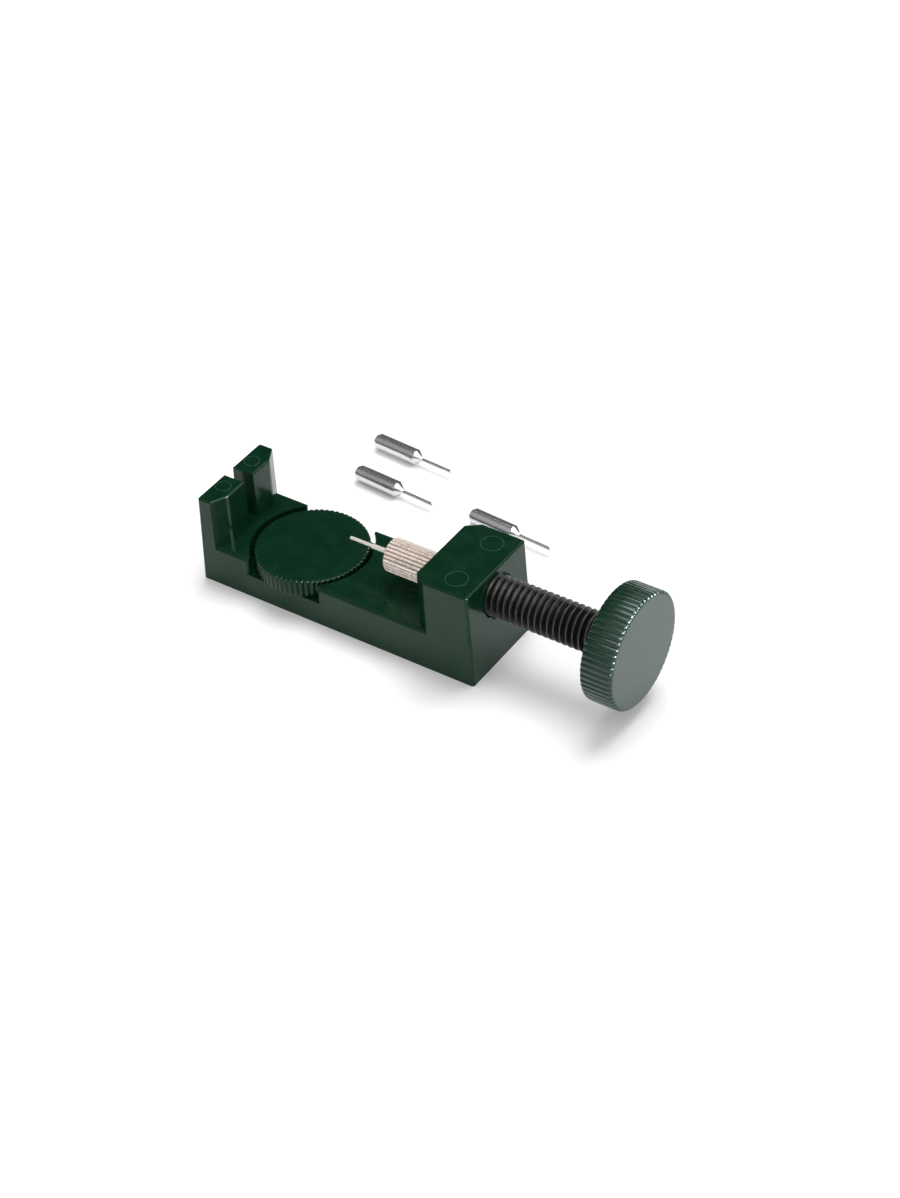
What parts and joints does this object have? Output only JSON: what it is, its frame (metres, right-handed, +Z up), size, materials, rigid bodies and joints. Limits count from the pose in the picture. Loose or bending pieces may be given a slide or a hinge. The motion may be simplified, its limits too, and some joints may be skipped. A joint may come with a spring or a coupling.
{
  "type": "watch bracelet link pin press",
  "caption": "Bench screw press for watch bracelet link pins: a moulded base with a slotted fork, a round height stage, a knobbed screw with a knurled pin holder, and loose spare pins.",
  "frame": {"origin": "centre of the foot, on the surface that the tool stands on", "axes": "+X along the main screw towards its knob, +Y to the back, where the spare pins lie, +Z up"},
  "size_m": [0.1049, 0.0612, 0.0295],
  "materials": {
    "green_moulding": "gloss, moulded, very dark green",
    "black_steel": "black oxide, oiled",
    "nickel_plate": "nickel plate over a straight knurl",
    "pin_steel": "turned and polished"
  },
  "bodies": {
    "base": {"base": "green_moulding"},
    "pin": {"push_pin": "pin_steel"},
    "screw": {"main_screw": "black_steel", "knob": "green_moulding", "pin_holder": "nickel_plate"},
    "stage_clip": {"stage_retaining_ring": "black_steel"},
    "stage": {"stage_disc": "green_moulding", "stage_stud": "black_steel"},
    "spare_1": {"spare_pin_1": "pin_steel"},
    "spare_2": {"spare_pin_2": "pin_steel"},
    "spare_3": {"spare_pin_3": "pin_steel"}
  },
  "joints": [
    {"name": "screw_feed", "type": "slide", "parent": "base", "child": "pin", "axis": [-1, 0, 0], "range_m": [-0.0045, 0.0255]},
    {"name": "screw_turn", "type": "hinge", "parent": "pin", "child": "screw", "pos_m": [0, 0, 0.0165], "axis": [-1, 0, 0], "range_deg": [-1081, 6121]},
    {"name": "stage_lift", "type": "slide", "parent": "base", "child": "stage_clip", "axis": [0, 0, 1], "range_m": [0, 0.0024]},
    {"name": "stage_turn", "type": "hinge", "parent": "stage_clip", "child": "stage", "pos_m": [-0.0133, 0, 0], "axis": [0, 0, 1], "range_deg": [0, 1081]},
    {"name": "spare_lift_1", "type": "slide", "parent": "base", "child": "spare_1", "axis": [0, 0, 1], "range_m": [0, 0.03]},
    {"name": "spare_lift_2", "type": "slide", "parent": "base", "child": "spare_2", "axis": [0, 0, 1], "range_m": [0, 0.03]},
    {"name": "spare_lift_3", "type": "slide", "parent": "base", "child": "spare_3", "axis": [0, 0, 1], "range_m": [0, 0.03]}
  ],
  "couplings": [
    {"joint": "screw_turn", "follows": "screw_feed", "rad_per_m": 4188.8},
    {"joint": "stage_turn", "follows": "stage_lift", "rad_per_m": 7854}
  ]
}
